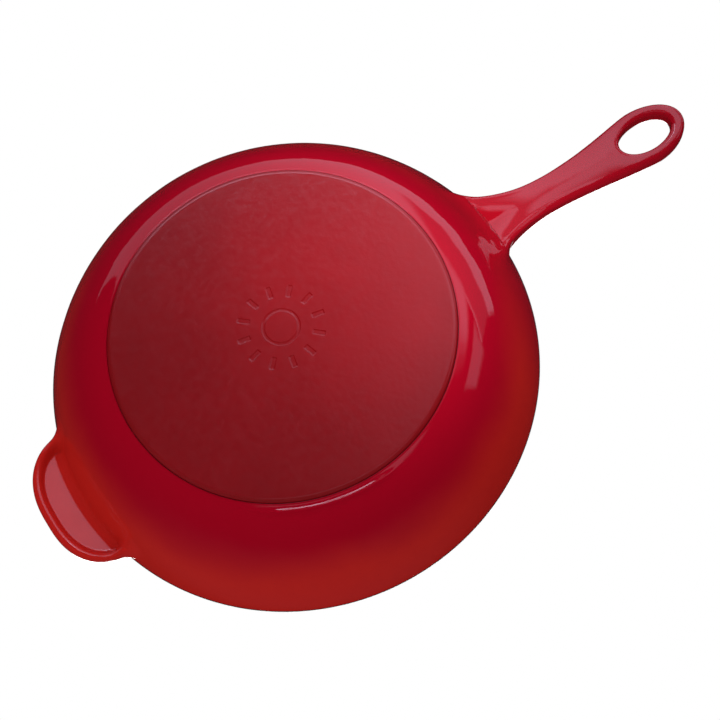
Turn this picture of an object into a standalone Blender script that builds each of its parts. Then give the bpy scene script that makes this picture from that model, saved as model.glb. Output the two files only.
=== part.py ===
"""Enamelled cast iron skillet with a long looped handle and a helper handle.

Metres, +Z up.  The origin is the centre of the flat underside of the base, the
long handle points along +X and the helper handle along -X.  The pan is one iron
casting covered by separate enamel layers; each layer is its own solid, 0.3 mm
clear of what it covers.
"""
import math

import bmesh
import bpy

MM = 0.001

# ---------------------------------------------------------------- driving sizes
RIM_RADIUS = 134.0          # outside of the rim, over the enamel
PAN_HEIGHT = 56.0           # underside of the base to the top of the rim
BASE_RADIUS = 90.9          # outside of the base disc
FOOT_HEIGHT = 1.8           # how far the base disc stands proud of the wall
WALL_THICKNESS = 5.0        # enamel to enamel
FLOOR_Z = 6.2               # cooking surface above the underside
ENAMEL = 0.6                # thickness of every enamel layer
GAP = 0.3                   # clearance between touching solids
RIM_BAND_Z = 54.6           # lower edge of the rim's band of enamel

HANDLE_START = 118.0        # inside the wall
HANDLE_TIP = 274.0
HANDLE_WAIST_X = 175.0
HANDLE_WAIST = 10.4         # half width at the waist
HANDLE_ROOT_FLARE = 6.9     # extra half width at the wall
LOOP_X = 246.0
LOOP_HALF_WIDTH = 17.6
LOOP_HOLE_X = 247.0
LOOP_HOLE_LENGTH = 36.0
LOOP_HOLE_WIDTH = 20.4
HANDLE_ROOT_Z = 46.0        # mid height of the handle at the wall
HANDLE_RISE = 26.0          # how much higher the tip is
HANDLE_THICKNESS = 10.0
HANDLE_CORNER = 3.4

POCKET_X0 = 127.0           # triangular pocket under the root of the handle
POCKET_X1 = 149.0
POCKET_HALF_WIDTH = 12.5
POCKET_DEPTH = 5.0

HELPER_REACH = 155.0        # outer edge of the helper handle from the axis
HELPER_HALF_WIDTH = 37.5
HELPER_ROOT_X = 133.0
HELPER_TOP_Z = 54.0
HELPER_LIP_Z = 45.5         # underside of its lip
HELPER_PANEL_Z = 49.8       # underside of its thin panel
HELPER_LIP_WIDTH = 6.0

MARK_RADIUS = 20.0          # ring of sunken bars in the underside
MARK_BARS = 12
MARK_BAR = (6.4, 2.4)       # radial length, width
MARK_DEPTH = 0.35
MARK_RING = (8.6, 10.0)     # sunken circle inside the bars

SEGMENTS = 48


# ------------------------------------------------------------------ collections
for old in list(bpy.data.objects):
    bpy.data.objects.remove(old, do_unlink=True)
for old in list(bpy.data.collections):
    bpy.data.collections.remove(old)
PARTS = bpy.data.collections.new("cast_iron_skillet")
CUTTERS = bpy.data.collections.new("skillet_cutters")
bpy.context.scene.collection.children.link(PARTS)
bpy.context.scene.collection.children.link(CUTTERS)


def material(name, colour, roughness, metallic=0.0, coat=0.0):
    mat = bpy.data.materials.new(name)
    mat.use_nodes = True
    shader = mat.node_tree.nodes["Principled BSDF"]
    shader.inputs["Base Color"].default_value = (*colour, 1.0)
    shader.inputs["Roughness"].default_value = roughness
    shader.inputs["Metallic"].default_value = metallic
    shader.inputs["Coat Weight"].default_value = coat
    mat.diffuse_color = (*colour, 1.0)
    return mat


RED_GLOSS = material("red_gloss_enamel", (0.42, 0.006, 0.012), 0.12, coat=0.6)
RED_SATIN = material("red_satin_enamel", (0.40, 0.012, 0.02), 0.38)
BLACK_MATT = material("black_matt_enamel", (0.012, 0.012, 0.013), 0.55)
RIM_BLACK = material("black_rim_enamel", (0.015, 0.014, 0.015), 0.35)
IRON = material("grey_cast_iron", (0.09, 0.085, 0.08), 0.7, metallic=1.0)


def keep(obj, mat=None, cutter=False):
    """Puts an object in its collection, and marks a cutter as one."""
    (CUTTERS if cutter else PARTS).objects.link(obj)
    if mat is not None:
        obj.data.materials.append(mat)
    if cutter:
        obj.hide_render = True
        obj.display_type = "WIRE"
    return obj


# --------------------------------------------------------------- turned shapes
def turned(name, profile, closed, mat=None, cutter=False):
    """Turns a profile of (radius, height) points in mm about Z with a Screw.

    An open profile starts and ends on the axis.  It is listed from the bottom
    outwards and up, and reversed here so that it runs down its outer side.
    """
    profile = list(reversed(profile))
    mesh = bpy.data.meshes.new(name)
    verts = [(r * MM, 0.0, z * MM) for r, z in profile]
    edges = [(i, i + 1) for i in range(len(verts) - 1)]
    if closed:
        edges.append((len(verts) - 1, 0))
    mesh.from_pydata(verts, edges, [])
    obj = keep(bpy.data.objects.new(name, mesh), mat, cutter)
    screw = obj.modifiers.new("turn", "SCREW")
    screw.axis = "Z"
    screw.steps = SEGMENTS
    screw.render_steps = SEGMENTS
    screw.use_merge_vertices = True
    screw.merge_threshold = 0.00001
    screw.use_smooth_shade = True
    return obj


def wall_point(u):
    """The outside of the wall, a Bezier curve from the base disc to the rim."""
    p = (
        (BASE_RADIUS - 0.4, FOOT_HEIGHT),
        (115.9, 7.2),
        (RIM_RADIUS - 0.2, 50.4),
        (RIM_RADIUS, PAN_HEIGHT),
    )
    a, b, c, d = (1 - u) ** 3, 3 * u * (1 - u) ** 2, 3 * u * u * (1 - u), u ** 3
    return tuple(a * p[0][i] + b * p[1][i] + c * p[2][i] + d * p[3][i] for i in (0, 1))


def wall_inset(u, depth):
    """A point of the wall moved in along the wall's normal."""
    r0, z0 = wall_point(max(u - 0.002, 0.0))
    r1, z1 = wall_point(min(u + 0.002, 1.0))
    length = math.hypot(r1 - r0, z1 - z0)
    r, z = wall_point(u)
    return r - depth * (z1 - z0) / length, z + depth * (r1 - r0) / length


def wall_rows(depth, z_low, z_high, count=9):
    """Rows of the inset wall that lie between two heights, ends included."""
    samples = [wall_inset(i / 400, depth) for i in range(401)]
    samples = [p for p in samples if z_low <= p[1] <= z_high]
    steps = [samples[round(i * (len(samples) - 1) / (count - 1))] for i in range(count)]
    steps[-1] = (samples[-1][0], z_high)
    return steps


def bowl_outside(depth):
    """The bowl's outside as a solid of revolution, inset by a depth."""
    wall = wall_rows(depth, 0.0, 54.0, 9)
    top = PAN_HEIGHT - depth
    return [(0.0, wall[0][1])] + wall + [(RIM_RADIUS - depth, top), (0.0, top)]


# ------------------------------------------------------------------ the handle
def handle_half_width(x):
    """Half the handle's width: flared root, waist, and an oval loop end."""
    if x <= HANDLE_WAIST_X:
        root = max(0.0, (HANDLE_WAIST_X - 3.0 - x) / 37.0)
        return HANDLE_WAIST + HANDLE_ROOT_FLARE * root ** 2
    if x <= LOOP_X:
        t = (x - HANDLE_WAIST_X) / (LOOP_X - HANDLE_WAIST_X)
        grow = 1.0 - (1.0 - t ** 1.8) ** 1.45
        return HANDLE_WAIST + (LOOP_HALF_WIDTH - HANDLE_WAIST) * grow
    t = (x - LOOP_X) / (HANDLE_TIP - LOOP_X)
    return LOOP_HALF_WIDTH * math.sqrt(max(0.0, 1.0 - t * t))


def handle_mid_z(x):
    t = min(max((x - 130.0) / 149.0, -0.2), 1.0)
    return HANDLE_ROOT_Z + HANDLE_RISE * (1.0 - (1.0 - t) ** 2.2)


def handle_half_thickness(x):
    return HANDLE_THICKNESS / 2 + 1.5 * math.exp(-max(x - 132.0, 0.0) / 14.0)


def rounded_section(half_width, half_height, corner, per_corner=3):
    """A rectangle with rounded corners, anticlockwise from its right side."""
    corner = min(corner, half_width * 0.98, half_height * 0.98)
    points = []
    for k, (sx, sy) in enumerate(((1, 1), (-1, 1), (-1, -1), (1, -1))):
        for j in range(per_corner + 1):
            a = math.radians(90 * k + 90 * j / per_corner)
            points.append(
                (
                    sx * (half_width - corner) + corner * math.cos(a),
                    sy * (half_height - corner) + corner * math.sin(a),
                )
            )
    return points


def loft(name, rings, mat=None, cutter=False):
    """Joins closed rings of points, in mm, into one solid with capped ends."""
    mesh = bpy.data.meshes.new(name)
    bm = bmesh.new()
    loops = [[bm.verts.new([c * MM for c in p]) for p in ring] for ring in rings]
    n = len(loops[0])
    for a, b in zip(loops, loops[1:]):
        for i in range(n):
            bm.faces.new((a[i], a[(i + 1) % n], b[(i + 1) % n], b[i]))
    bm.faces.new(loops[0][::-1])
    bm.faces.new(loops[-1])
    bmesh.ops.recalc_face_normals(bm, faces=bm.faces)
    bm.to_mesh(mesh)
    bm.free()
    return keep(bpy.data.objects.new(name, mesh), mat, cutter)


def handle_solid(name, depth, mat=None, cutter=False):
    """The long handle, inset by a depth on every side."""
    tip = HANDLE_TIP - depth
    stations = [HANDLE_START + 11.0 * i for i in range(12)]
    stations = [x for x in stations if x < LOOP_X - 3]
    count = 7
    stations += [
        LOOP_X + (tip - LOOP_X) * math.sin(math.pi / 2 * i / count) for i in range(count)
    ]
    stations.append(tip - 0.25)
    rings = []
    for x in stations:
        stretch = (x - LOOP_X) / (tip - LOOP_X)
        if stretch > 0:
            half = (LOOP_HALF_WIDTH - depth) * math.sqrt(max(0.0, 1 - stretch ** 2))
        else:
            half = handle_half_width(x) - depth
        thick = handle_half_thickness(x) - depth
        if stretch > 0.8:
            thick *= 1.0 - 0.35 * ((stretch - 0.8) / 0.2) ** 2
        corner = max(HANDLE_CORNER - depth, 1.0)
        mid = handle_mid_z(x)
        rings.append(
            [(x, y, mid + z) for y, z in rounded_section(max(half, 0.7), thick, corner)]
        )
    return loft(name, rings, mat, cutter)


def prism(name, outline, z_low, z_high, mat=None, cutter=False):
    """An outline in mm, extruded between two heights."""
    rings = [[(x, y, z) for x, y in outline] for z in (z_low, z_high)]
    return loft(name, rings, mat, cutter)


def loop_hole(name, depth):
    """The cutter for the hanging loop; a positive depth makes it wider."""
    a, b = LOOP_HOLE_LENGTH / 2 + depth, LOOP_HOLE_WIDTH / 2 + depth
    outline = []
    for i in range(28):
        t = 2 * math.pi * i / 28
        outline.append((LOOP_HOLE_X + a * math.cos(t), b * math.sin(t)))
    return prism(name, outline, 50.0, 90.0, cutter=True)


def root_pocket(name, depth):
    """The cutter for the pocket: a wedge that gets deeper towards the wall."""
    side = depth * 1.15
    ends = []
    for x, half, deep in (
        (POCKET_X0, POCKET_HALF_WIDTH + 2.0, POCKET_DEPTH),
        (POCKET_X1, 2.0, 0.45 * POCKET_DEPTH),
    ):
        under = handle_mid_z(x) - handle_half_thickness(x)
        ends.append((x, half + side, under + deep + depth))
    # carried on a little past its point and well into the wall, with flat sides
    (xa, ha, za), (xb, hb, zb) = ends
    ends = []
    for x in (xa - 9.0, xb + depth):
        t = (x - xa) / (xb - xa)
        ends.append((x, ha + (hb - ha) * t, za + (zb - za) * t))
    rings = [
        [(x, -half, 24.0), (x, half, 24.0), (x, half, top), (x, -half, top)]
        for x, half, top in ends
    ]
    return loft(name, rings, cutter=True)


# ---------------------------------------------------------- the helper handle
def helper_outline(inset, inner_x, count=26):
    """The helper handle's outline in plan, inset from its outer edge."""
    half = HELPER_HALF_WIDTH - inset
    reach = HELPER_REACH - HELPER_ROOT_X - inset
    points = []
    for i in range(count + 1):
        y = -half * math.cos(math.pi * i / count)
        bulge = max(0.0, 1.0 - abs(y / half) ** 2.6) ** 0.625
        points.append((-(HELPER_ROOT_X + reach * bulge), y))
    return [(-inner_x, -half)] + points[1:-1] + [(-inner_x, half)]


def helper_solid(name, depth, mat=None, cutter=False):
    return prism(
        name,
        helper_outline(depth, 112.0),
        HELPER_LIP_Z + depth,
        HELPER_TOP_Z - depth,
        mat,
        cutter,
    )


def helper_recess(name, depth):
    """The cutter for the recess under the helper, inside its lip."""
    outline = helper_outline(HELPER_LIP_WIDTH - depth, 126.0, 18)
    return prism(name, outline, HELPER_LIP_Z - 8.0, HELPER_PANEL_Z + depth, cutter=True)


# ------------------------------------------------------------------- booleans
def boolean(obj, other, operation):
    mod = obj.modifiers.new(operation.lower(), "BOOLEAN")
    mod.operation = operation
    mod.object = other
    mod.solver = "EXACT"


def add_handles(obj, depth, tag):
    """Gives a solid bowl its two handles, the loop, the pocket and the recess."""
    boolean(obj, handle_solid("handle_" + tag, depth, cutter=True), "UNION")
    boolean(obj, helper_solid("helper_" + tag, depth, cutter=True), "UNION")
    boolean(obj, loop_hole("loop_hole_" + tag, depth), "DIFFERENCE")
    for form in (root_pocket("pocket_" + tag, depth), helper_recess("recess_" + tag, depth)):
        # the cutters stop at the bowl's own outside
        boolean(form, turned(form.name + "_limit", bowl_outside(depth), False, cutter=True), "DIFFERENCE")
        boolean(obj, form, "DIFFERENCE")


def cylinder(name, radius, z_low, z_high):
    profile = [(0.0, z_low), (radius, z_low), (radius, z_high), (0.0, z_high)]
    return turned(name, profile, False, cutter=True)


# ------------------------------------------------------------ the iron casting
foot = ENAMEL + GAP           # how far the iron lies under the outer surface
iron_wall = wall_rows(foot, 0.0, 53.6, 9)
iron_outside = (
    [(0.0, foot), (BASE_RADIUS - 2.3, foot), (BASE_RADIUS - 1.4, 1.5), (BASE_RADIUS - 1.1, 2.3)]
    + iron_wall
    + [
        (RIM_RADIUS - foot, 54.5),
        (RIM_RADIUS - foot - 0.8, PAN_HEIGHT - foot),
        (0.0, PAN_HEIGHT - foot),
    ]
)
casting = turned("iron_casting", iron_outside, False, IRON)
add_handles(casting, foot, "iron")
iron_inner_depth = WALL_THICKNESS - foot
iron_inner = wall_rows(iron_inner_depth, FLOOR_Z - foot + 0.35, 53.6, 8)
hollow = (
    [(0.0, FLOOR_Z - foot), (BASE_RADIUS - 5.0, FLOOR_Z - foot)]
    + iron_inner
    + [
        (RIM_RADIUS - iron_inner_depth, 54.5),
        (RIM_RADIUS - iron_inner_depth + 0.8, PAN_HEIGHT - foot + 0.01),
        (RIM_RADIUS - iron_inner_depth + 0.8, PAN_HEIGHT + 4.0),
        (0.0, PAN_HEIGHT + 4.0),
    ]
)
boolean(casting, turned("bowl_hollow", hollow, False, cutter=True), "DIFFERENCE")

# ------------------------------------------------- red enamel over the outside
red = turned("exterior_enamel", bowl_outside(0.0), False, RED_GLOSS)
add_handles(red, 0.0, "red")
core = turned("enamel_core", bowl_outside(ENAMEL), False, cutter=True)
add_handles(core, ENAMEL, "core")
boolean(red, core, "DIFFERENCE")
boolean(red, cylinder("rim_opening", RIM_RADIUS + 0.3, RIM_BAND_Z - GAP, 62.0), "DIFFERENCE")
boolean(red, cylinder("base_opening", BASE_RADIUS + GAP, -2.0, 3.4), "DIFFERENCE")

# ------------------------------------------- red satin enamel on the base disc
base_section = [
    (0.0, 0.0),
    (BASE_RADIUS - 2.0, 0.0),
    (BASE_RADIUS - 0.9, 0.3),
    (BASE_RADIUS - 0.2, 1.0),
    (BASE_RADIUS, 1.9),
    (BASE_RADIUS - 0.6, 1.9),
    (BASE_RADIUS - 0.8, 1.2),
    (BASE_RADIUS - 1.4, 0.75),
    (BASE_RADIUS - 2.1, ENAMEL),
    (0.0, ENAMEL),
]
base = turned("base_enamel", base_section, False, RED_SATIN)
for i in range(MARK_BARS):
    angle = 2 * math.pi * (i + 0.5) / MARK_BARS
    half_l, half_w = MARK_BAR[0] / 2, MARK_BAR[1] / 2
    ring = []
    for a, b in ((-1, -1), (1, -1), (1, 1), (-1, 1)):
        r, t = MARK_RADIUS + a * half_l, b * half_w
        ring.append(
            (r * math.cos(angle) - t * math.sin(angle), r * math.sin(angle) + t * math.cos(angle))
        )
    boolean(base, prism("mark_bar_%02d" % i, ring, -2.0, MARK_DEPTH, cutter=True), "DIFFERENCE")
groove = [
    (MARK_RING[0], -2.0),
    (MARK_RING[1], -2.0),
    (MARK_RING[1], MARK_DEPTH),
    (MARK_RING[0], MARK_DEPTH),
]
boolean(base, turned("mark_ring", groove, True, cutter=True), "DIFFERENCE")

# ------------------------------------------------------ black enamel inside it
visible = wall_rows(WALL_THICKNESS, FLOOR_Z + 0.5, RIM_BAND_Z - GAP, 8)
hidden = wall_rows(WALL_THICKNESS - ENAMEL, FLOOR_Z - ENAMEL + 0.45, RIM_BAND_Z - GAP, 8)
lining = (
    [(0.0, FLOOR_Z - ENAMEL), (BASE_RADIUS - 4.8, FLOOR_Z - ENAMEL)]
    + hidden
    + visible[::-1]
    + [(BASE_RADIUS - 5.0, FLOOR_Z), (0.0, FLOOR_Z)]
)
turned("interior_enamel", lining, False, BLACK_MATT)


# --------------------------------------------------- black enamel over the rim
def rim_half(inset, side):
    """Half of the rim's rounded top, from its edge to its crown."""
    mid = RIM_RADIUS - WALL_THICKNESS / 2
    half = WALL_THICKNESS / 2 - inset
    top = PAN_HEIGHT - inset
    corner = 1.4 - inset * 0.6
    points = [(mid + side * half, RIM_BAND_Z)]
    for k in range(3):
        a = math.radians(45 * k)
        points.append(
            (
                mid + side * (half - corner + corner * math.cos(a)),
                top - corner + corner * math.sin(a),
            )
        )
    return points


over = rim_half(0.0, 1) + rim_half(0.0, -1)[::-1]
under = rim_half(ENAMEL, -1) + rim_half(ENAMEL, 1)[::-1]
turned("rim_enamel", over + under, True, RIM_BLACK)
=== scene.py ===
"""How the enamelled cast iron skillet looks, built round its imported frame.

All shapes are worked out here in millimetres.  The red coat is one implicit
surface (bowl wall, long handle, helper handle, with their fillets, hanging loop,
pocket and recess), turned into a mesh on a cylindrical grid and given the
surface's own normals.
"""

import math

import bpy
import numpy as np
from mathutils import Matrix, Vector


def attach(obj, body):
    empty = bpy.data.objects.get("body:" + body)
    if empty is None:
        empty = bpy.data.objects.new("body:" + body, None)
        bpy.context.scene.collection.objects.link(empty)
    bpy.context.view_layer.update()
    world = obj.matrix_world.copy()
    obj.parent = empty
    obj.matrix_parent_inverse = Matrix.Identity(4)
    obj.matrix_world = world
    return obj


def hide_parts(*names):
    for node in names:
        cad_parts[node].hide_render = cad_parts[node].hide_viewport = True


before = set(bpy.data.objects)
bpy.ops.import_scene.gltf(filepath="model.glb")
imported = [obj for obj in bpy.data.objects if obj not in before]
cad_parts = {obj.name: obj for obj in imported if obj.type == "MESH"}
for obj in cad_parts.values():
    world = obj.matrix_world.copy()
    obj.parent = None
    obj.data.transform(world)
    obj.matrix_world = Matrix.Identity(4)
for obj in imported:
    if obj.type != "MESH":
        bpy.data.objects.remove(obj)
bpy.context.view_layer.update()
scene = bpy.context.scene
MM = 0.001

# ------------------------------------------------------------------ the camera
RIGHT = Vector((0.81848, 0.57078, 0.06554))
UP = Vector((0.54104, -0.72734, -0.4222))
BACK = Vector((-0.19332, 0.38102, -0.90413))

cam_data = bpy.data.cameras.new("camera")
cam_data.lens = 70.0
cam_data.sensor_width = 36.0
cam_data.shift_x = -0.0417
cam_data.shift_y = -0.2
cam_data.clip_start = 0.01
cam_data.clip_end = 20.0
cam = bpy.data.objects.new("camera", cam_data)
scene.collection.objects.link(cam)
turn = Matrix((RIGHT, UP, BACK)).transposed().to_4x4()
cam.matrix_world = Matrix.Translation((-0.06245, 0.26459, -0.67048)) @ turn
scene.camera = cam
scene.view_settings.view_transform = "Standard"

# ------------------------------------------------------------- driving sizes, mm
RIM = 134.0
TOP = 56.0
COAT = 0.6
CUT_TOP = 54.3          # the red coat stops under the rim band here
CUT_BASE = 91.2         # and round the base disc here
CUT_RIM = 134.35


def smin(a, b, k):
    h = np.maximum(k - np.abs(a - b), 0.0) / k
    return np.minimum(a, b) - h * h * k * 0.25


def smax(a, b, k):
    return -smin(-a, -b, k)


def step(x, lo, hi):
    t = np.clip((x - lo) / (hi - lo), 0.0, 1.0)
    return t * t * (3.0 - 2.0 * t)


def rounded(a, b, c):
    """Distance to a corner of two faces at distances a and b, rounded by c."""
    p, q = a + c, b + c
    return np.minimum(np.maximum(p, q), 0.0) + np.hypot(np.maximum(p, 0.0), np.maximum(q, 0.0)) - c


# -------------------------------------------------------------------- the wall
WALL_R = (90.5, 115.9, 133.8, 134.0)
WALL_Z = (1.8, 7.2, 50.4, 56.0)


def bezier(p, u):
    v = 1.0 - u
    return v ** 3 * p[0] + 3 * u * v * v * p[1] + 3 * u * u * v * p[2] + u ** 3 * p[3]


def bezier_slope(p, u):
    v = 1.0 - u
    return 3 * (v * v * (p[1] - p[0]) + 2 * u * v * (p[2] - p[1]) + u * u * (p[3] - p[2]))


TABLE_U = np.linspace(0.0, 1.0, 2001)
TABLE_Z = bezier(WALL_Z, TABLE_U)


def wall_radius(z):
    """Radius of the wall's outside at a height, and its slope dr/dz."""
    zc = np.clip(z, WALL_Z[0], WALL_Z[3])
    u = np.interp(zc, TABLE_Z, TABLE_U)
    for _ in range(2):
        u = np.clip(u - (bezier(WALL_Z, u) - zc) / bezier_slope(WALL_Z, u), 0.0, 1.0)
    slope = bezier_slope(WALL_R, u) / bezier_slope(WALL_Z, u)
    low = np.minimum(z - WALL_Z[0], 0.0)
    return bezier(WALL_R, u) + low * slope, slope


def f_wall(x, y, z):
    r = np.hypot(x, y)
    radius, slope = wall_radius(z)
    d = (r - radius) / np.sqrt(1.0 + slope * slope)
    # enamel has pooled in a low roll along one side of the base disc
    azimuth = np.degrees(np.arctan2(y, x))
    pooled = step(azimuth, 82.0, 96.0) * (1.0 - step(azimuth, 122.0, 138.0))
    roll = pooled * 0.75 * np.exp(-(((r - 94.9) / 1.5) ** 2)) - 0.2 * np.exp(-(((r - 91.2) / 0.5) ** 2))
    return d - np.where(z < 12.0, roll, 0.0)


def ripple(x, y, z):
    """The slow unevenness of a hand-finished casting."""
    return 0.014 * (
        np.sin(0.21 * x + 0.13 * y + 0.30 * z + 1.0)
        + np.sin(-0.11 * x + 0.24 * y - 0.20 * z + 2.2)
        + np.sin(0.17 * x - 0.29 * y + 0.25 * z + 0.4)
    )


# ------------------------------------------------------------- the long handle
def handle_mid(x):
    t = np.clip((x - 130.0) / 149.0, -0.2, 1.0)
    return 46.0 + 26.0 * (1.0 - (1.0 - t) ** 2.2), 0.384 * (1.0 - t) ** 1.2


def handle_half_width(x):
    root = np.clip((172.0 - x) / 37.0, 0.0, None)
    t = np.clip((x - 175.0) / 71.0, 0.0, 1.0)
    return 10.4 + 6.9 * root ** 2 + 7.2 * (1.0 - (1.0 - t ** 1.8) ** 1.45)


def ellipse(dx, y, a, b):
    k0 = np.sqrt((dx / a) ** 2 + (y / b) ** 2)
    k1 = np.sqrt((dx / a ** 2) ** 2 + (y / b ** 2) ** 2)
    return k0 * (k0 - 1.0) / np.maximum(k1, 1e-6)


def handle_outline(x, y):
    w = handle_half_width(x)
    slope = (handle_half_width(x + 0.05) - handle_half_width(x - 0.05)) / 0.1
    side = (np.abs(y) - w) / np.sqrt(1.0 + slope * slope)
    return np.where(x < 246.0, side, ellipse(x - 246.0, y, 28.0, 17.6))


def handle_faces(x, y, z):
    """Distances above the top face and below the underside."""
    mid, slope = handle_mid(x)
    thick = 5.0 + 1.5 * np.exp(-np.clip(x - 132.0, 0.0, None) / 14.0)
    across = np.clip(np.abs(y) / handle_half_width(x), 0.0, 1.2) ** 2
    crown = 0.5 + 0.6 * step(x, 150.0, 175.0)
    loop = step(x, 214.0, 236.0)
    from_edge = handle_half_width(x) - np.abs(y)
    bead = np.exp(-(((from_edge - 2.6) / 0.9) ** 2)) * (1.0 - step(x, 186.0, 216.0))
    bead = bead * np.where(y > 0.0, 0.34, 0.1) * step(x, 126.0, 134.0)
    fall = np.where(y > 0.0, 2.2 * crown, 1.6 * crown) * across
    under = thick + (crown - fall) * (1.0 - 0.8 * loop) + bead
    over = thick + (0.6 - 0.9 * across) * (1.0 - 0.8 * loop)
    tilt = 1.0 / np.sqrt(1.0 + slope * slope)
    return (z - mid) * tilt - over, (mid - z) * tilt - under


def f_handle(x, y, z):
    over, under = handle_faces(x, y, z)
    outline = handle_outline(x, y)
    flat = np.maximum(over, under)
    corner = 1.7 + 1.8 * step(x, 175.0, 232.0)
    lower = rounded(outline, under, corner)
    upper = rounded(outline, over, 3.4)
    hole = -ellipse(x - 247.0, y, 18.0, 10.2)
    edge = rounded(hole, flat, 2.9)
    return np.maximum(np.maximum(lower, upper), np.where(x > 215.0, edge, -20.0))


def f_pocket(x, y, z):
    """Negative in the three-sided pocket sunk in the underside at the root."""
    over, under = handle_faces(x, y, z)
    a = -(x - 130.6) * 0.547 + (12.0 - y) * 0.838
    b = -(x - 130.6) * 0.547 + (12.0 + y) * 0.838
    side = smin(a, b, 2.2)
    depth = np.minimum(0.52 * side, 2.2 * (x - 130.6))
    return -(under + depth) * 0.88


# ----------------------------------------------------------- the helper handle
def helper_outline(x, y, half, reach):
    t = np.maximum((-x - 133.0) / reach, 0.0)
    w = np.abs(y) / half
    value = w ** 2.6 + t ** 1.6
    grad = np.hypot(2.6 * w ** 1.6 / half, 1.6 * t ** 0.6 / reach)
    return (value - 1.0) / np.maximum(grad, 0.03)


def f_helper(x, y, z):
    outline = helper_outline(x, y, 37.5, 22.0)
    return rounded(outline, np.abs(z - 49.75) - 4.25, 3.0)


def f_recess(x, y, z):
    panel = z - 50.2 - 0.2 * (x + 141.0)
    side = helper_outline(x, y, 31.6, 16.1) + panel * 0.42
    return smax(side, panel, 0.8)


def f_coat(x, y, z):
    wall = f_wall(x, y, z)
    handle = np.where(x > 100.0, f_handle(np.maximum(x, 100.0), y, z), 30.0)
    fillet = 9.0 - 8.0 * step(z, 44.0, 52.0)
    d = smin(wall, handle, fillet)
    clear = np.clip(wall, 0.02, None)
    pocket = np.where(np.abs(x - 140.0) < 12.0, f_pocket(x, y, z), 30.0)
    d = smax(d, smin(-pocket, wall, 1.2), np.minimum(clear + 0.5, 2.4))
    helper = np.where(x < -100.0, f_helper(x, y, z), 30.0)
    d = smin(d, helper, 9.0 - 7.8 * step(z, 50.0, 53.0))
    recess = np.where(x < -115.0, f_recess(x, y, z), 30.0)
    d = smax(d, smin(-recess, wall, 5.0), np.minimum(clear, 2.2))
    return d - ripple(x, y, z)


def gradient(f, p, e=0.02):
    g = np.empty_like(p)
    for i in range(3):
        a, b = p.copy(), p.copy()
        a[:, i] += e
        b[:, i] -= e
        g[:, i] = (f(*a.T) - f(*b.T)) / (2 * e)
    return g


# ----------------------------------------------------- the cylindrical grid, mm
def lines(*parts):
    out = [parts[0][0]]
    for lo, hi, size in parts:
        n = max(1, round((hi - lo) / size))
        out += [lo + (hi - lo) * (i + 1) / n for i in range(n)]
    return np.array(out)


GRID_R = lines(
    (90.2, CUT_BASE, 0.5), (CUT_BASE, 96.2, 0.3), (96.2, 118.0, 1.25), (118.0, CUT_RIM, 0.75),
    (CUT_RIM, 158.0, 0.75), (158.0, 276.0, 1.2),
)
GRID_Z = lines((0.6, 3.6, 0.25), (3.6, 32.0, 1.3), (32.0, CUT_TOP, 0.7), (CUT_TOP, 60.0, 0.8), (60.0, 79.0, 1.0))
GRID_T = np.radians(
    lines(
        (-180.0, -156.0, 0.5), (-156.0, -22.0, 1.25), (-22.0, -6.5, 0.5), (-6.5, 6.5, 0.27),
        (6.5, 22.0, 0.5), (22.0, 156.0, 1.25), (156.0, 180.0, 0.5),
    )[:-1]
)


def sample_grid():
    values = np.full((len(GRID_R), len(GRID_T), len(GRID_Z)), 20.0)
    near = int(np.searchsorted(GRID_R, 160.0))
    for j0 in range(0, len(GRID_T), 24):
        cols = slice(j0, min(j0 + 24, len(GRID_T)))
        wide = np.abs(GRID_T[cols]).min() < math.radians(20.0)
        n = len(GRID_R) if wide else near
        r = GRID_R[:n, None, None]
        t = GRID_T[None, cols, None]
        shape = (n, GRID_T[cols].size, len(GRID_Z))
        x = np.broadcast_to(r * np.cos(t), shape)
        y = np.broadcast_to(r * np.sin(t), shape)
        z = np.broadcast_to(GRID_Z[None, None, :], shape)
        values[:n, cols] = f_coat(x, y, z)
    return values


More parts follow.
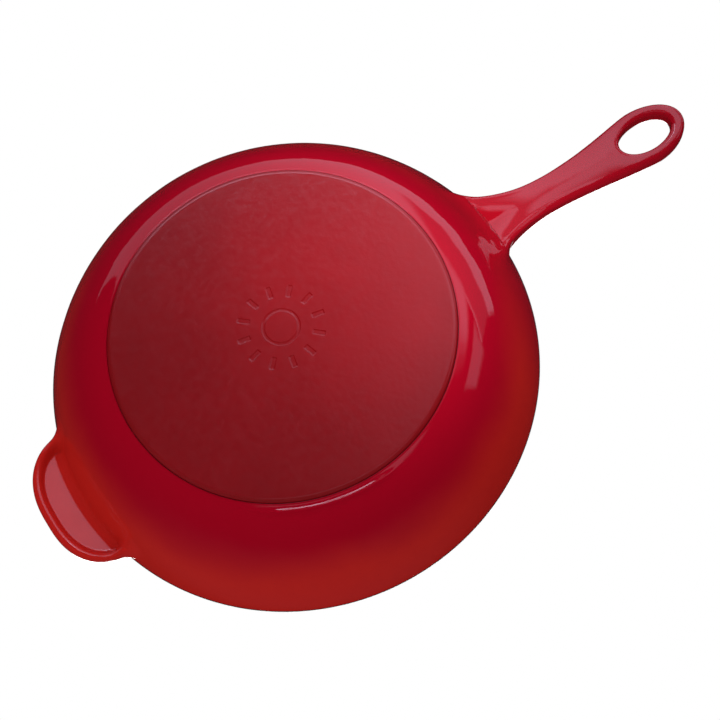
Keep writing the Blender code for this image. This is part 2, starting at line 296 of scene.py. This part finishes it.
def surface_nets(values):
    """Vertices (mm) and quads of the zero surface, open where the coat is cut."""
    nr, nt, nz = values.shape
    v = np.concatenate([values, values[:, :1]], 1)
    angle = np.append(GRID_T, GRID_T[0] + 2 * math.pi)
    inside = v < 0
    corners = [
        (a, b, c, inside[a:nr - 1 + a, b:nt + b, c:nz - 1 + c])
        for a in (0, 1) for b in (0, 1) for c in (0, 1)
    ]
    count = sum(m.astype(np.int8) for _, _, _, m in corners)
    active = (count > 0) & (count < 8)
    cut = (GRID_R[1:, None, None] <= CUT_BASE + 1e-9) | (
        (GRID_Z[None, None, :-1] >= CUT_TOP - 1e-9) & (GRID_R[1:, None, None] <= CUT_RIM + 1e-9)
    )
    active &= ~cut
    cells = np.argwhere(active)
    index = np.full(active.shape, -1, np.int64)
    index[active] = np.arange(len(cells))
    i, j, k = cells.T
    total = np.zeros((len(cells), 3))
    weight = np.zeros(len(cells))

    def grid_point(a, b, c):
        return np.stack([GRID_R[i + a], angle[j + b], GRID_Z[k + c]], 1), v[i + a, j + b, k + c]

    edges = []
    for a in (0, 1):
        for b in (0, 1):
            edges += [((0, a, b), (1, a, b)), ((a, 0, b), (a, 1, b)), ((a, b, 0), (a, b, 1))]
    for one, two in edges:
        p, fp = grid_point(*one)
        q, fq = grid_point(*two)
        cross = (fp < 0) != (fq < 0)
        t = np.where(cross, fp / np.where(cross, fp - fq, 1.0), 0.0)
        total += np.where(cross[:, None], p + (q - p) * t[:, None], 0.0)
        weight += cross
    mean = total / weight[:, None]
    points = np.stack([mean[:, 0] * np.cos(mean[:, 1]), mean[:, 0] * np.sin(mean[:, 1]), mean[:, 2]], 1)

    quads = []

    def emit(a, b, c, d, flip):
        q = np.stack([a, b, c, d], 1)
        q = np.where(flip[:, None], q[:, ::-1], q)
        quads.append(q[(q >= 0).all(1)])

    s = inside[:, :nt]
    e = np.argwhere(s[:-1] != s[1:])
    e = e[(e[:, 2] > 0) & (e[:, 2] < nz - 1)]
    a, b, c = e.T
    bm = (b - 1) % nt
    emit(index[a, bm, c - 1], index[a, b, c - 1], index[a, b, c], index[a, bm, c], ~s[a, b, c])
    full = inside
    e = np.argwhere(full[:, :-1] != full[:, 1:])
    e = e[(e[:, 2] > 0) & (e[:, 2] < nz - 1) & (e[:, 0] > 0) & (e[:, 0] < nr - 1)]
    a, b, c = e.T
    emit(index[a - 1, b, c - 1], index[a - 1, b, c], index[a, b, c], index[a, b, c - 1], ~full[a, b, c])
    e = np.argwhere(s[:, :, :-1] != s[:, :, 1:])
    e = e[(e[:, 0] > 0) & (e[:, 0] < nr - 1)]
    a, b, c = e.T
    bm = (b - 1) % nt
    emit(index[a - 1, bm, c], index[a, bm, c], index[a, b, c], index[a - 1, b, c], ~s[a, b, c])
    return points, np.concatenate(quads)


def boundary(quads):
    """Directed edges that belong to one quad only."""
    e = np.concatenate([quads[:, [i, (i + 1) % 4]] for i in range(4)])
    key = np.sort(e, 1)
    _, first, times = np.unique(key, axis=0, return_index=True, return_counts=True)
    return e[first[times == 1]]


def coat_sheet():
    points, quads = surface_nets(sample_grid())
    used = np.unique(quads)
    remap = np.full(len(points), -1)
    remap[used] = np.arange(len(used))
    points, quads = points[used], remap[quads]
    for _ in range(4):
        g = gradient(f_coat, points)
        f = f_coat(*points.T)
        shift = g * (f / np.maximum((g * g).sum(1), 0.05))[:, None]
        length = np.linalg.norm(shift, axis=1)
        points = points - shift * np.minimum(1.0, 0.5 / np.maximum(length, 1e-9))[:, None]
    edge = boundary(quads)
    rim = np.unique(edge)
    high = rim[points[rim, 2] > 40.0]
    low = rim[points[rim, 2] <= 40.0]
    for _ in range(6):
        p = points[high]
        p[:, 2] = CUT_TOP
        g = gradient(f_coat, p)
        out = p[:, :2] / np.linalg.norm(p[:, :2], axis=1)[:, None]
        move = f_coat(*p.T) / np.maximum((g[:, :2] * out).sum(1), 0.3)
        p[:, :2] -= out * np.clip(move, -0.5, 0.5)[:, None]
        points[high] = p
        p = points[low]
        p[:, :2] *= (CUT_BASE / np.linalg.norm(p[:, :2], axis=1))[:, None]
        g = gradient(f_coat, p)
        p[:, 2] -= np.clip(f_coat(*p.T) / np.minimum(g[:, 2], -0.3), -0.5, 0.5)
        points[low] = p
    g = gradient(f_coat, points)
    normals = g / np.linalg.norm(g, axis=1)[:, None]
    # the quads are turned so that they face outwards
    a, b, c, d = (points[quads[:, i]] for i in range(4))
    face = np.cross(c - a, d - b)
    wrong = (face * normals[quads].sum(1)).sum(1) < 0
    quads = np.where(wrong[:, None], quads[:, ::-1], quads)
    return points, quads, normals, high, low


# --------------------------------------------------------------- mesh building
def make_object(name, points, faces, loop_normals=None, material=None):
    """A mesh object from points in mm; faces is a list of index arrays."""
    mesh = bpy.data.meshes.new(name)
    corners = np.concatenate([np.asarray(f).ravel() for f in faces])
    sizes = np.concatenate([np.full(len(f), np.asarray(f).shape[1]) for f in faces])
    starts = np.concatenate([[0], np.cumsum(sizes)[:-1]])
    mesh.vertices.add(len(points))
    mesh.vertices.foreach_set("co", (np.asarray(points) * MM).astype(np.float32).ravel())
    mesh.loops.add(len(corners))
    mesh.loops.foreach_set("vertex_index", corners.astype(np.int32))
    mesh.polygons.add(len(sizes))
    mesh.polygons.foreach_set("loop_start", starts.astype(np.int32))
    mesh.polygons.foreach_set("loop_total", sizes.astype(np.int32))
    mesh.polygons.foreach_set("use_smooth", np.ones(len(sizes), bool))
    mesh.update(calc_edges=True)
    mesh.validate()
    if loop_normals is not None and len(loop_normals) == len(mesh.loops):
        mesh.normals_split_custom_set([tuple(n) for n in loop_normals])
    obj = bpy.data.objects.new(name, mesh)
    scene.collection.objects.link(obj)
    if material is not None:
        mesh.materials.append(material)
    return obj


def face_normals(points, quads):
    a, b, c, d = (points[quads[:, i]] for i in range(4))
    n = np.cross(c - a, d - b)
    return n / np.maximum(np.linalg.norm(n, axis=1), 1e-12)[:, None]


def thin_coat(name, points, quads, normals, thickness, material):
    """Closes a sheet into a coat of even thickness behind it."""
    n = len(points)
    back = points - normals * thickness
    edge = boundary(quads)
    side = np.stack([edge[:, 1], edge[:, 0], edge[:, 0] + n, edge[:, 1] + n], 1)
    both = np.concatenate([points, back])
    inner = quads[:, ::-1] + n
    loops = np.concatenate(
        [
            normals[quads].reshape(-1, 3),
            -normals[quads[:, ::-1]].reshape(-1, 3),
            np.repeat(face_normals(both, side), 4, 0),
        ]
    )
    return make_object(name, both, [quads, inner, side], loops, material)


def ring_rows(radii, heights, angles):
    r, z = np.asarray(radii)[:, None], np.asarray(heights)[:, None]
    return np.stack([r * np.cos(angles), r * np.sin(angles), z + 0.0 * angles], 2)


def strip(first, second):
    """Quads joining two rings of vertex numbers."""
    return np.stack([first, np.roll(first, -1), np.roll(second, -1), second], 1)


def turned(name, profile, count, material, closed=False):
    """A profile of (radius, height) points turned round the axis.

    The profile runs with the outside on its right hand.  An open one starts and
    ends on the axis, where it is closed with a fan.
    """
    angles = np.linspace(0, 2 * math.pi, count, endpoint=False)
    body = profile if closed else profile[1:-1]
    rows = ring_rows([p[0] for p in body], [p[1] for p in body], angles)
    points = rows.reshape(-1, 3)
    number = np.arange(len(points)).reshape(len(body), count)
    faces = [strip(number[i], number[i + 1]) for i in range(len(body) - 1)]
    if closed:
        faces.append(strip(number[-1], number[0]))
        return make_object(name, points, [np.concatenate(faces)], None, material)
    points = np.concatenate([points, [[0, 0, profile[0][1]], [0, 0, profile[-1][1]]]])
    a, b = len(points) - 2, len(points) - 1
    start = np.stack([np.full(count, a), np.roll(number[0], -1), number[0]], 1)
    end = np.stack([np.full(count, b), number[-1], np.roll(number[-1], -1)], 1)
    return make_object(name, points, [np.concatenate(faces), start, end], None, material)


# ------------------------------------------------------------------- materials
class Graph:
    """Small helper that builds shader nodes from expressions."""

    def __init__(self, tree):
        self.tree = tree

    def node(self, kind, **settings):
        n = self.tree.nodes.new(kind)
        for key, value in settings.items():
            setattr(n, key, value)
        return n

    def put(self, socket, value):
        if isinstance(value, bpy.types.NodeSocket):
            self.tree.links.new(value, socket)
        else:
            socket.default_value = value

    def math(self, op, a, b=0.0, c=0.0, clamp=False):
        n = self.node("ShaderNodeMath", operation=op, use_clamp=clamp)
        for socket, value in zip(n.inputs, (a, b, c)):
            self.put(socket, value)
        return n.outputs[0]

    def add(self, a, b):
        return self.math("ADD", a, b)

    def mul(self, a, b):
        return self.math("MULTIPLY", a, b)

    def ramp(self, x, lo, hi, a=0.0, b=1.0, smooth=True):
        n = self.node("ShaderNodeMapRange", interpolation_type="SMOOTHSTEP" if smooth else "LINEAR")
        self.put(n.inputs["Value"], x)
        for key, value in (("From Min", lo), ("From Max", hi), ("To Min", a), ("To Max", b)):
            self.put(n.inputs[key], value)
        return n.outputs["Result"]

    def noise(self, vector, scale, detail=3.0, rough=0.5):
        n = self.node("ShaderNodeTexNoise")
        self.put(n.inputs["Vector"], vector)
        n.inputs["Scale"].default_value = scale
        n.inputs["Detail"].default_value = detail
        n.inputs["Roughness"].default_value = rough
        return n.outputs["Fac"]

    def mix(self, t, a, b):
        n = self.node("ShaderNodeMix", data_type="RGBA")
        self.put(n.inputs[0], t)
        self.put(n.inputs[6], a)
        self.put(n.inputs[7], b)
        return n.outputs[2]

    def dot(self, vector, axis):
        n = self.node("ShaderNodeVectorMath", operation="DOT_PRODUCT")
        self.put(n.inputs[0], vector)
        n.inputs[1].default_value = axis
        return n.outputs["Value"]

    def bump(self, height, distance, normal=None, strength=1.0):
        n = self.node("ShaderNodeBump")
        n.inputs["Strength"].default_value = strength
        n.inputs["Distance"].default_value = distance
        self.put(n.inputs["Height"], height)
        if normal is not None:
            self.put(n.inputs["Normal"], normal)
        return n.outputs["Normal"]


def new_material(name):
    mat = bpy.data.materials.new(name)
    mat.use_nodes = True
    graph = Graph(mat.node_tree)
    shader = mat.node_tree.nodes["Principled BSDF"]
    coords = graph.node("ShaderNodeTexCoord").outputs["Object"]
    return mat, graph, shader, coords


def rgb(r, g, b):
    return (r, g, b, 1.0)


def red_gloss():
    mat, g, shader, where = new_material("red_gloss_enamel_look")
    split = g.node("ShaderNodeSeparateXYZ")
    g.put(split.inputs[0], where)
    height = split.outputs["Z"]
    drift = g.noise(where, 22.0, 2.0)
    level = g.add(height, g.mul(g.add(drift, -0.5), 0.012))
    bowl = g.ramp(split.outputs["X"], 0.085, 0.125, 1.0, 0.15)
    warm = g.mul(g.ramp(level, 0.012, 0.036), bowl)
    colour = g.mix(warm, rgb(0.40, 0.0012, 0.0135), rgb(0.60, 0.0175, 0.0120))
    mottle = g.noise(where, 160.0, 3.0)
    colour = g.mix(g.mul(mottle, 0.16), colour, rgb(0.33, 0.004, 0.010))
    speck = g.ramp(g.noise(where, 1400.0, 1.0), 0.70, 0.76)
    colour = g.mix(g.mul(speck, 0.25), colour, rgb(0.16, 0.004, 0.006))
    g.put(shader.inputs["Base Color"], colour)
    g.put(shader.inputs["Roughness"], g.ramp(g.noise(where, 90.0, 4.0), 0.3, 0.7, 0.02, 0.045))
    shader.inputs["IOR"].default_value = 1.5
    fine = g.noise(where, 420.0, 2.0)
    slow = g.noise(where, 150.0, 2.0)
    normal = g.bump(fine, 0.000004)
    normal = g.bump(slow, 0.00004, normal)
    g.put(shader.inputs["Normal"], normal)
    return mat


def red_satin():
    mat, g, shader, where = new_material("red_satin_enamel_look")
    cloud = g.noise(where, 18.0, 3.0)
    colour = g.mix(g.ramp(cloud, 0.3, 0.7), rgb(0.240, 0.0040, 0.0065), rgb(0.268, 0.0048, 0.0078))
    grain = g.noise(where, 700.0, 2.0)
    colour = g.mix(g.mul(grain, 0.14), colour, rgb(0.18, 0.004, 0.007))
    g.put(shader.inputs["Base Color"], colour)
    g.put(shader.inputs["Roughness"], g.ramp(g.noise(where, 240.0, 3.0), 0.3, 0.7, 0.17, 0.22))
    shader.inputs["IOR"].default_value = 1.5
    peel = g.noise(where, 330.0, 2.0)
    grit = g.noise(where, 1100.0, 2.0)
    normal = g.bump(peel, 0.00005)
    normal = g.bump(grit, 0.000006, normal)
    g.put(shader.inputs["Normal"], normal)
    return mat


def black_matt():
    mat, g, shader, where = new_material("black_matt_enamel_look")
    cloud = g.noise(where, 30.0, 4.0)
    colour = g.mix(g.ramp(cloud, 0.3, 0.7), rgb(0.010, 0.010, 0.011), rgb(0.017, 0.0165, 0.0165))
    speck = g.ramp(g.noise(where, 1600.0, 1.0), 0.66, 0.72)
    colour = g.mix(g.mul(speck, 0.5), colour, rgb(0.045, 0.044, 0.043))
    g.put(shader.inputs["Base Color"], colour)
    g.put(shader.inputs["Roughness"], g.ramp(g.noise(where, 120.0, 4.0), 0.3, 0.7, 0.42, 0.58))
    grit = g.noise(where, 900.0, 3.0, 0.6)
    normal = g.bump(grit, 0.00003)
    normal = g.bump(g.noise(where, 120.0, 2.0), 0.00002, normal)
    g.put(shader.inputs["Normal"], normal)
    return mat


def black_rim():
    mat, g, shader, where = new_material("black_rim_enamel_look")
    cloud = g.noise(where, 60.0, 4.0)
    colour = g.mix(cloud, rgb(0.010, 0.009, 0.010), rgb(0.022, 0.019, 0.019))
    g.put(shader.inputs["Base Color"], colour)
    g.put(shader.inputs["Roughness"], g.ramp(g.noise(where, 200.0, 4.0), 0.3, 0.7, 0.24, 0.38))
    normal = g.bump(g.noise(where, 500.0, 3.0), 0.00003)
    g.put(shader.inputs["Normal"], normal)
    return mat


def cast_iron():
    mat, g, shader, where = new_material("cast_iron_look")
    cloud = g.noise(where, 45.0, 5.0)
    colour = g.mix(cloud, rgb(0.06, 0.057, 0.054), rgb(0.12, 0.113, 0.106))
    rust = g.ramp(g.noise(where, 130.0, 4.0), 0.62, 0.72)
    colour = g.mix(g.mul(rust, 0.35), colour, rgb(0.11, 0.052, 0.025))
    g.put(shader.inputs["Base Color"], colour)
    shader.inputs["Metallic"].default_value = 0.85
    g.put(shader.inputs["Roughness"], g.ramp(g.noise(where, 260.0, 4.0), 0.3, 0.7, 0.55, 0.8))
    normal = g.bump(g.noise(where, 800.0, 4.0, 0.6), 0.00012)
    g.put(shader.inputs["Normal"], normal)
    return mat


RED_GLOSS, RED_SATIN = red_gloss(), red_satin()
BLACK_MATT, BLACK_RIM, IRON = black_matt(), black_rim(), cast_iron()

# ------------------------------------------------------------- the red coat
sheet, sheet_quads, sheet_normals, ring_high, ring_low = coat_sheet()
coat = thin_coat("red_coat", sheet, sheet_quads, sheet_normals, COAT, RED_GLOSS)


# ------------------------------------------------------------ the iron casting
def wall_inset(u, depth):
    r, z = bezier(WALL_R, u), bezier(WALL_Z, u)
    dr, dz = bezier_slope(WALL_R, u), bezier_slope(WALL_Z, u)
    length = np.hypot(dr, dz)
    return r - depth * dz / length, z + depth * dr / length


def inset_rows(depth, low, high, count):
    r, z = wall_inset(np.linspace(0, 1, 801), depth)
    pick = (z >= low) & (z <= high)
    r, z = r[pick], z[pick]
    at = np.linspace(0, len(r) - 1, count).round().astype(int)
    return list(zip(r[at], z[at]))


def by_angle(points, numbers):
    return numbers[np.argsort(np.arctan2(points[numbers, 1], points[numbers, 0]))]


def iron_body():
    """The casting under the coat: the coat's own sheet moved in, then closed."""
    skin = sheet - sheet_normals * 0.9
    high, low = by_angle(sheet, ring_high), by_angle(sheet, ring_low)
    points, faces = [skin], [sheet_quads]
    total = len(skin)
    fans = []
    inside = inset_rows(4.1, 6.2, 53.8, 26)[::-1]
    for ring, profile in (
        (low, [(89.9, 2.4), (89.5, 1.5), (88.5, 0.9), (60.0, 0.9), (20.0, 0.9)]),
        (high, [(133.0, 54.7), (132.3, 55.1), (130.5, 55.1), (129.8, 54.6)] + inside
         + [(85.9, 5.3), (60.0, 5.3), (20.0, 5.3)]),
    ):
        angles = np.arctan2(sheet[ring, 1], sheet[ring, 0])
        last = ring
        for r, z in profile:
            row = np.stack([r * np.cos(angles), r * np.sin(angles), np.full(len(angles), z)], 1)
            now = np.arange(total, total + len(row))
            points.append(row)
            total += len(row)
            q = strip(last, now)
            faces.append(q if ring is high else q[:, ::-1])
            last = now
        points.append([[0.0, 0.0, profile[-1][1]]])
        fan = np.stack([np.full(len(last), total), last, np.roll(last, -1)], 1)
        fans.append(fan[:, ::-1] if ring is low else fan)
        total += 1
    return make_object("iron_body", np.concatenate(points), [np.concatenate(faces)] + fans, None, IRON)


iron = iron_body()


# -------------------------------------------------------------- the base disc
def mark_depth(x, y):
    """Depth of the sunken ring of bars and circle in the underside."""
    r, a = np.hypot(x, y), np.arctan2(y, x)
    part = math.radians(30.0)
    local = (a / part - np.floor(a / part) - 0.5) * part
    along, across = np.abs(r * np.cos(local) - 20.0), np.abs(r * np.sin(local))
    p, q = along - 3.2 + 0.5, across - 1.2 + 0.5
    bar = np.minimum(np.maximum(p, q), 0.0) + np.hypot(np.maximum(p, 0), np.maximum(q, 0)) - 0.5
    circle = np.abs(r - 9.3) - 0.7
    return 0.48 * (1.0 - step(np.minimum(bar, circle), -0.34, 0.36))


def base_disc():
    count = 640
    angles = np.linspace(0, 2 * math.pi, count, endpoint=False)
    flat = [3.0, 6.0, 7.6] + list(np.linspace(7.9, 10.9, 13)) + [12.0, 14.0, 15.6]
    flat += list(np.linspace(16.0, 24.2, 32)) + [25.5, 28.0, 34.0, 42.0, 52.0, 62.0, 72.0, 80.0, 85.0, 88.0]
    flat = np.array(flat)
    rows = ring_rows(flat, np.zeros(len(flat)), angles)
    rows[:, :, 2] = mark_depth(rows[:, :, 0], rows[:, :, 1])
    lip = [(88.5 + 2.4 * math.sin(a), 2.0 * (1 - math.cos(a))) for a in np.radians(np.linspace(6, 90, 12))]
    back = [(90.95, 2.5), (90.4, 2.5), (89.9, 1.9), (88.3, 0.7), (50.0, 0.6)]
    tail = ring_rows([p[0] for p in lip + back], [p[1] for p in lip + back], angles)
    rows = np.concatenate([rows, tail])
    shape = rows.shape[:2]
    points = rows.reshape(-1, 3)
    e = 0.02
    x, y = points[:, 0], points[:, 1]
    gx = (mark_depth(x + e, y) - mark_depth(x - e, y)) / (2 * e)
    gy = (mark_depth(x, y + e) - mark_depth(x, y - e)) / (2 * e)
    normals = np.stack([gx, gy, -np.ones(len(x))], 1)
    number = np.arange(len(points)).reshape(shape)
    for i, a in enumerate(np.radians(np.linspace(6, 90, 12))):
        slope = 2.0 * math.sin(a) / (2.4 * math.cos(a) + 1e-6)
        k = number[len(flat) + i]
        out = points[k, :2] / np.linalg.norm(points[k, :2], axis=1)[:, None]
        normals[k] = np.concatenate([out * slope, -np.ones((count, 1))], 1)
    front = len(flat) + 12
    normals[number[front]] = np.concatenate(
        [points[number[front], :2] / 90.95, np.zeros((count, 1))], 1)
    normals[number[front + 1]] = (0, 0, 1)
    for i in (2, 3, 4):
        normals[number[front + i]] = (0, 0, 1)
    points = np.concatenate([points, [[0, 0, 0], [0, 0, 0.6]]])
    normals = np.concatenate([normals, [[0, 0, -1], [0, 0, 1]]])
    normals /= np.linalg.norm(normals, axis=1)[:, None]
    quads = np.concatenate([strip(number[i], number[i + 1]) for i in range(len(number) - 1)])
    a, b = len(points) - 2, len(points) - 1
    first, last = number[0], number[-1]
    start = np.stack([np.full(count, a), np.roll(first, -1), first], 1)
    end = np.stack([np.full(count, b), last, np.roll(last, -1)], 1)
    loops = np.concatenate([normals[q].reshape(-1, 3) for q in (quads, start, end)])
    return make_object("base_disc", points, [quads, start, end], loops, RED_SATIN)


base = base_disc()

# ----------------------------------------------------- the inside and the rim
wall_in = inset_rows(5.0, 7.2, 54.6, 48)
wall_under = inset_rows(4.4, 6.6, 54.5, 30)
bend = []
first = wall_in[0]
for t in np.linspace(0, 1, 8)[:-1]:
    p0, p1 = (82.0, 6.2), (87.6, 6.2)
    bend.append(tuple((1 - t) ** 2 * p0[i] + 2 * t * (1 - t) * p1[i] + t * t * first[i] for i in (0, 1)))
lining = [(0.0, 5.6), (60.0, 5.6), (84.0, 5.6)] + wall_under + wall_in[::-1] + bend[::-1]
lining += [(r, 6.2) for r in (70.0, 50.0, 30.0, 10.0)] + [(0.0, 6.2)]
interior = turned("cooking_surface", lining, 256, BLACK_MATT)


def rim_profile():
    mid, half = RIM - 2.5, 2.5
    over = [(RIM - 0.02, 54.25)]
    for side in (1, -1):
        arc = []
        for a in np.radians(np.linspace(0, 90, 9)):
            arc.append((mid + side * (half - 1.4 + 1.4 * math.cos(a)), TOP - 1.4 + 1.4 * math.sin(a)))
        over += arc if side == 1 else arc[::-1]
    under = [(RIM - 4.95, 54.4), (RIM - 4.3, 54.4), (RIM - 4.3, 55.0), (RIM - 3.8, 55.35)]
    under += [(RIM - 1.2, 55.35), (RIM - 0.75, 55.0), (RIM - 0.7, 54.25)]
    return over + under


rim = turned("rim_band", rim_profile(), 320, BLACK_RIM, closed=True)

for piece, node, slot in (
    (coat, "exterior_enamel", "red_gloss_enamel"),
    (iron, "iron_casting", "cast_iron"),
    (base, "base_enamel", "red_satin_enamel"),
    (interior, "interior_enamel", "black_matt_enamel"),
    (rim, "rim_enamel", "black_rim_enamel"),
):
    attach(piece, "root")
    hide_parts(node)

# --------------------------------------------------------- the floor and light
floor_mesh = bpy.data.meshes.new("floor")
floor_mesh.from_pydata([(-6, -6, 0), (6, -6, 0), (6, 6, 0), (-6, 6, 0)], [], [(0, 1, 2, 3)])
floor = bpy.data.objects.new("floor", floor_mesh)
scene.collection.objects.link(floor)
floor_mat = bpy.data.materials.new("floor_look")
floor_mat.use_nodes = True
fg = Graph(floor_mat.node_tree)
floor_shader = floor_mat.node_tree.nodes["Principled BSDF"]
floor_shader.inputs["Base Color"].default_value = rgb(0.78, 0.78, 0.77)
floor_shader.inputs["Roughness"].default_value = 0.9
clear = fg.node("ShaderNodeBsdfTransparent")
either = fg.node("ShaderNodeMixShader")
geometry = fg.node("ShaderNodeNewGeometry")
fg.put(either.inputs[0], geometry.outputs["Backfacing"])
fg.put(either.inputs[1], floor_shader.outputs[0])
fg.put(either.inputs[2], clear.outputs[0])
fg.put(floor_mat.node_tree.nodes["Material Output"].inputs["Surface"], either.outputs[0])
floor_mesh.materials.append(floor_mat)
floor.visible_diffuse = False
floor.visible_glossy = False
floor.visible_transmission = False
floor.visible_shadow = False


def studio():
    """A white backdrop, and a big softbox over the pan with dim walls round it."""
    world = bpy.data.worlds.new("studio")
    scene.world = world
    world.use_nodes = True
    g = Graph(world.node_tree)
    world.node_tree.nodes.clear()
    way = g.node("ShaderNodeTexCoord").outputs["Generated"]
    a, b, c = g.dot(way, RIGHT), g.dot(way, UP), g.dot(way, BACK)
    up_world = g.dot(way, (0, 0, 1))
    round_box = g.math("ARCTAN2", b, c)

    def between(x, lo, hi, soft):
        return g.mul(g.ramp(x, lo - soft, lo + soft), g.ramp(x, hi - soft, hi + soft, 1.0, 0.0))

    deg = math.radians
    left = g.ramp(round_box, deg(60), deg(118), -0.68, -0.89, smooth=False)
    inside = g.ramp(g.add(a, g.mul(left, -1.0)), -0.01, 0.01)
    inside = g.mul(inside, g.ramp(a, 0.885, 0.905, 1.0, 0.0))
    box = g.mul(inside, between(round_box, deg(62), deg(115.5), 0.012))
    level = g.ramp(round_box, deg(68), deg(112), 1.6, 1.3, smooth=False)
    level = g.mul(level, g.ramp(a, -0.60, 0.30, 0.42, 1.0))
    gap = g.mul(g.ramp(a, 0.24, 0.40), between(round_box, deg(64), deg(97), 0.05))
    level = g.mul(level, g.ramp(gap, 0.0, 1.0, 1.0, 0.2, smooth=False))
    side = g.mul(g.ramp(round_box, deg(34), deg(52)), g.ramp(round_box, deg(60), deg(72), 1.0, 0.0))
    side = g.mul(side, between(a, -0.10, 0.62, 0.06))
    strip = g.mul(between(round_box, deg(57), deg(64), 0.02), between(a, -0.46, 0.02, 0.03))
    front = g.mul(between(round_box, deg(10), deg(22), 0.04), between(a, -0.25, 0.35, 0.04))
    edge = g.mul(between(round_box, deg(26), deg(60), 0.06), between(a, 0.76, 0.92, 0.02))
    light = g.math("MAXIMUM", g.mul(box, level), g.mul(side, 1.45))
    light = g.add(light, g.add(g.mul(strip, 5.0), g.add(g.mul(front, 0.6), g.mul(edge, 0.8))))
    low = g.mul(g.ramp(b, -0.95, -0.3, 0.045, 0.0), between(c, -0.3, 0.5, 0.15))
    light = g.add(light, low)
    light = g.add(light, g.ramp(up_world, 0.925, 0.95, 0.0, 6.0))
    light = g.add(light, 0.014)
    path = g.node("ShaderNodeLightPath").outputs["Is Camera Ray"]
    strength = g.add(g.mul(path, g.add(1.0, g.mul(light, -1.0))), light)
    sky = g.node("ShaderNodeBackground")
    plain = g.math("MAXIMUM", path, g.ramp(up_world, 0.80, 0.90))
    g.put(sky.inputs["Color"], g.mix(plain, rgb(1.0, 0.87, 1.13), rgb(1, 1, 1)))
    g.put(sky.inputs["Strength"], strength)
    out = g.node("ShaderNodeOutputWorld")
    g.put(out.inputs["Surface"], sky.outputs[0])


studio()


def fill(name, way, energy, spread, colour=(1.0, 1.0, 1.0)):
    """A very soft distant fill that lights the enamel without showing in it."""
    data = bpy.data.lights.new(name, "SUN")
    data.energy = energy
    data.angle = math.radians(spread)
    data.color = colour
    lamp = bpy.data.objects.new(name, data)
    scene.collection.objects.link(lamp)
    toward = RIGHT * way[0] + UP * way[1] + BACK * way[2]
    lamp.rotation_mode = "QUATERNION"
    lamp.rotation_quaternion = toward.to_track_quat("Z", "Y")
    lamp.visible_glossy = False
    return lamp


fill("fill_front", (-0.12, -0.1, 1.0), 1.0, 150.0)
fill("fill_below", (-0.36, -0.83, 0.45), 1.0, 120.0)


def soft_spot(name, at, aim, watts, cone):
    """A spot with a fully soft edge, for the brighter upper right of the base disc."""
    data = bpy.data.lights.new(name, "SPOT")
    data.energy = watts
    data.spot_size = math.radians(cone)
    data.spot_blend = 1.0
    data.shadow_soft_size = 0.05
    lamp = bpy.data.objects.new(name, data)
    scene.collection.objects.link(lamp)
    start = RIGHT * at[0] + UP * at[1] + BACK * at[2]
    lamp.location = start
    lamp.rotation_mode = "QUATERNION"
    lamp.rotation_quaternion = (start - Vector(aim)).to_track_quat("Z", "Y")
    lamp.visible_glossy = False
    return lamp


soft_spot("fill_spot", (0.05, 0.05, 0.65), (0.086, -0.024, 0.0), 18.0, 22.0)

bpy.context.view_layer.update()
